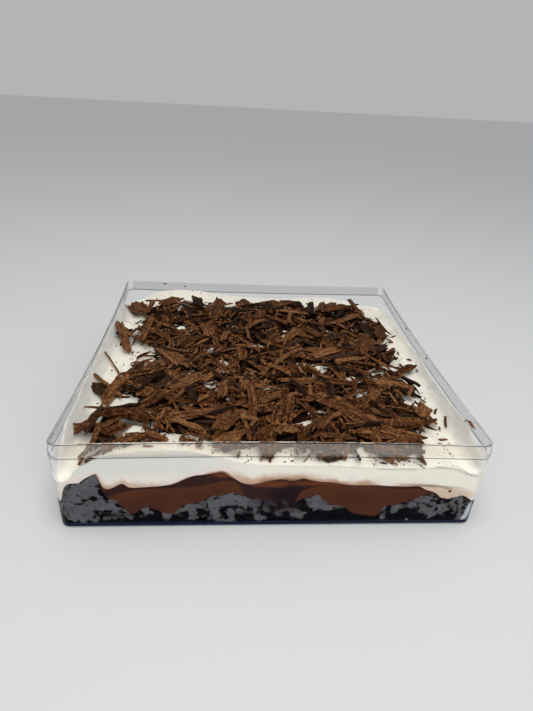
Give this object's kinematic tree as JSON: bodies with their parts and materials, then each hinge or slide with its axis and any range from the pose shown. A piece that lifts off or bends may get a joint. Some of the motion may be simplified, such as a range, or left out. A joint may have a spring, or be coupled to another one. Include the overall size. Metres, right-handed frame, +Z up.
{
  "type": "cherry pudding in a clear box",
  "caption": "Layered cherry pudding in a shallow square clear box: cake, chocolate pudding, cherry sauce and whipped cream under loose chocolate shavings.",
  "frame": {"origin": "middle of the box's underside, on the surface that it stands on", "axes": "+Z up; the wall whose layers are described as the front faces -Y; +X to the right of someone looking at that wall"},
  "size_m": [0.1602, 0.1602, 0.039],
  "materials": {
    "clear_plastic": "clear, smooth, glossy moulded plastic",
    "cherry_juice": "wet, almost black juice",
    "dark_cake": "moist dark crumb, dry grey against the wall and black where soaked",
    "chocolate_pudding": "smooth, soft satin",
    "cherry_sauce": "glossy, thick, dark",
    "whipped_cream": "soft, satin, slightly warm white",
    "chocolate_shavings": "dull milk chocolate with fine streaks"
  },
  "bodies": {
    "root": {"clear_box": "clear_plastic", "cherry_juice": "cherry_juice", "dark_cake": "dark_cake", "chocolate_pudding": "chocolate_pudding", "cherry_sauce": "cherry_sauce", "whipped_cream": "whipped_cream", "chocolate_shavings": "chocolate_shavings"}
  },
  "joints": []
}
